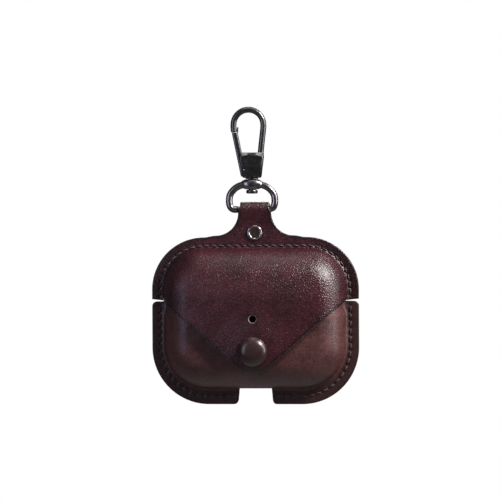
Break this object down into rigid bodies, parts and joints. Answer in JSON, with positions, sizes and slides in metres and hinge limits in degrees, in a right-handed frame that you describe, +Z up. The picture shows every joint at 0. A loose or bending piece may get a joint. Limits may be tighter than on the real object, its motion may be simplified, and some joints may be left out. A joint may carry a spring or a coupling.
{
  "type": "earbud case cover",
  "caption": "Moulded leather cover for an earbud charging case, with a snapped V flap lid, a riveted hang tab, an oval swivel ring and a sprung snap hook.",
  "frame": {"origin": "inside top of the hook's bow, on the swivel's axis, where the cover hangs", "axes": "+Z up, -Y to the front of the cover, where the flap and snap are, +X to the viewer's right"},
  "size_m": [0.0728, 0.031, 0.1046],
  "materials": {
    "leather": "smooth full grain, waxed, satin",
    "lining": "napped suede",
    "thread": "waxed polyester thread",
    "snap_enamel": "gloss enamel",
    "black_nickel": "polished black nickel",
    "gunmetal": "polished gunmetal",
    "spring_steel": "bright wire"
  },
  "bodies": {
    "hook": {"hook_frame": "black_nickel", "gate_pin": "black_nickel", "gate_spring": "spring_steel", "swivel_post": "black_nickel"},
    "gate": {"hook_gate": "black_nickel"},
    "ring": {"swivel_ring": "gunmetal"},
    "lid": {"lid_front_panel": "leather", "lid_back_panel": "leather", "lid_front_lining": "lining", "lid_back_lining": "lining", "rivet_cap": "black_nickel", "rivet_back": "black_nickel", "lid_needle_thread": "thread", "lid_bobbin_thread": "thread"},
    "flap": {"closure_flap": "leather", "flap_lining": "lining", "snap_cap": "snap_enamel", "snap_socket": "black_nickel", "snap_socket_spring": "spring_steel"},
    "lower": {"lower_front_panel": "leather", "lower_back_panel": "leather", "lower_front_lining": "lining", "lower_back_lining": "lining", "snap_stud": "black_nickel", "snap_post": "black_nickel", "lower_left_needle_thread": "thread", "lower_left_bobbin_thread": "thread", "lower_right_needle_thread": "thread", "lower_right_bobbin_thread": "thread"}
  },
  "joints": [
    {"name": "gate_pivot", "type": "hinge", "parent": "hook", "child": "gate", "pos_m": [-0.003, 0, -0.0203], "axis": [0, 1, 0], "range_deg": [0, 22], "stiffness_Nm_per_rad": 0.01, "springref_deg": -20.05, "deforming": ["gate_spring"]},
    {"name": "swivel_spin", "type": "hinge", "parent": "hook", "child": "ring", "pos_m": [0, 0, -0.0255], "axis": [0, 0, 1], "continuous": true},
    {"name": "ring_swing", "type": "hinge", "parent": "ring", "child": "lid", "pos_m": [0, 0, -0.034], "axis": [1, 0, 0], "range_deg": [-90, 90]},
    {"name": "flap_flex", "type": "hinge", "parent": "lid", "child": "flap", "pos_m": [0.001, -0.0156, -0.074], "axis": [-1, 0, 0], "range_deg": [0, 40], "stiffness_Nm_per_rad": 0.02},
    {"name": "lid_hinge", "type": "hinge", "parent": "lid", "child": "lower", "pos_m": [0.001, 0.01285, -0.0659], "axis": [1, 0, 0], "range_deg": [0, 110]}
  ]
}
